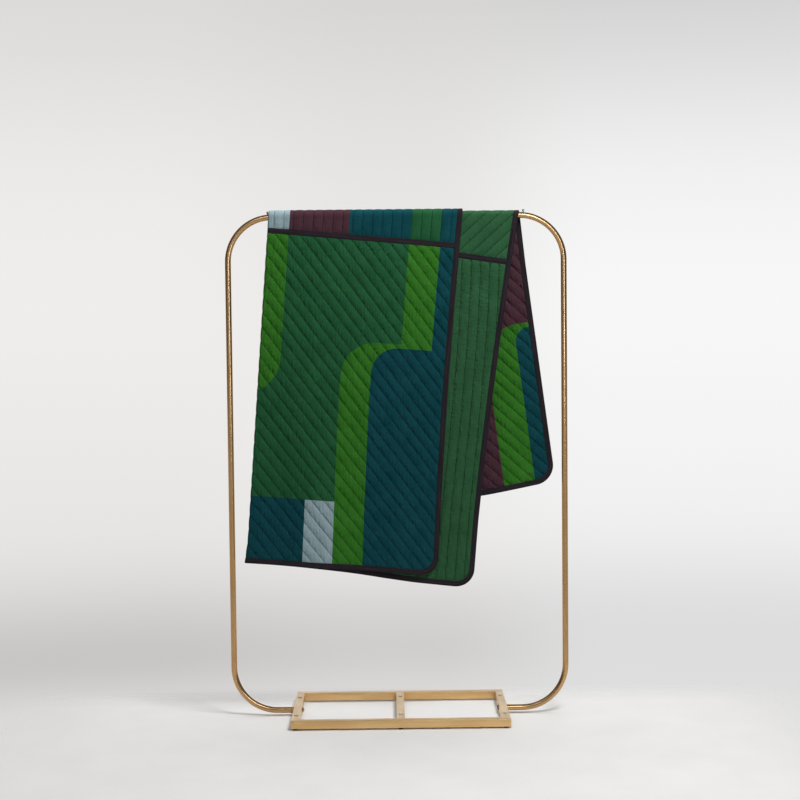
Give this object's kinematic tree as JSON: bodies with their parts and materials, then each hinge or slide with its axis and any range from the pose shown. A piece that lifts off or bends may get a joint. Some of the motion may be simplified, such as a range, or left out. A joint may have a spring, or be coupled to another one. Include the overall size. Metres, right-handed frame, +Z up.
{
  "type": "quilt on a rack",
  "caption": "Colour-block quilt, folded lengthwise and draped over the top rail of a free-standing brass tube hoop that stands in a rectangular base frame.",
  "frame": {"origin": "on the floor, under the middle of the base frame", "axes": "+Z up, +X to the right along the top rail, -Y to the front, where the longer drop of the quilt hangs"},
  "size_m": [1.079, 0.39, 1.6111],
  "materials": {
    "brass": "brushed, satin lacquer",
    "inner_steel": "zinc plated",
    "foot_rubber": "matt black",
    "pad_rubber": "translucent, satin",
    "patchwork": "quilted cotton, colour blocks",
    "backing": "quilted cotton, plain green",
    "binding": "cotton tape, near black"
  },
  "bodies": {
    "rack": {"hoop_top_section": "brass", "hoop_left_section": "brass", "hoop_right_section": "brass", "front_rail": "brass", "rear_rail": "brass", "left_end_rail": "brass", "right_end_rail": "brass", "centre_crossbar": "brass", "left_stop_pin": "brass", "right_stop_pin": "brass", "left_frame_bolt": "brass", "right_frame_bolt": "brass", "left_bolt_washer": "brass", "right_bolt_washer": "brass", "left_joint_spigot": "inner_steel", "right_joint_spigot": "inner_steel", "left_tube_plug": "inner_steel", "right_tube_plug": "inner_steel", "left_front_foot": "foot_rubber", "left_rear_foot": "foot_rubber", "centre_front_foot": "foot_rubber", "centre_rear_foot": "foot_rubber", "right_front_foot": "foot_rubber", "right_rear_foot": "foot_rubber", "left_front_shelf_pad": "pad_rubber", "left_rear_shelf_pad": "pad_rubber", "centre_front_shelf_pad": "pad_rubber", "centre_rear_shelf_pad": "pad_rubber", "right_front_shelf_pad": "pad_rubber", "right_rear_shelf_pad": "pad_rubber"},
    "quilt": {"quilt_outer_layer": "patchwork", "quilt_inner_layer": "backing", "quilt_folded_edge": "patchwork", "outer_binding": "binding", "inner_binding": "binding"}
  },
  "joints": [
    {"name": "quilt_lift", "type": "slide", "parent": "rack", "child": "quilt", "axis": [0, 0, 1], "range_m": [0, 1.21]}
  ]
}
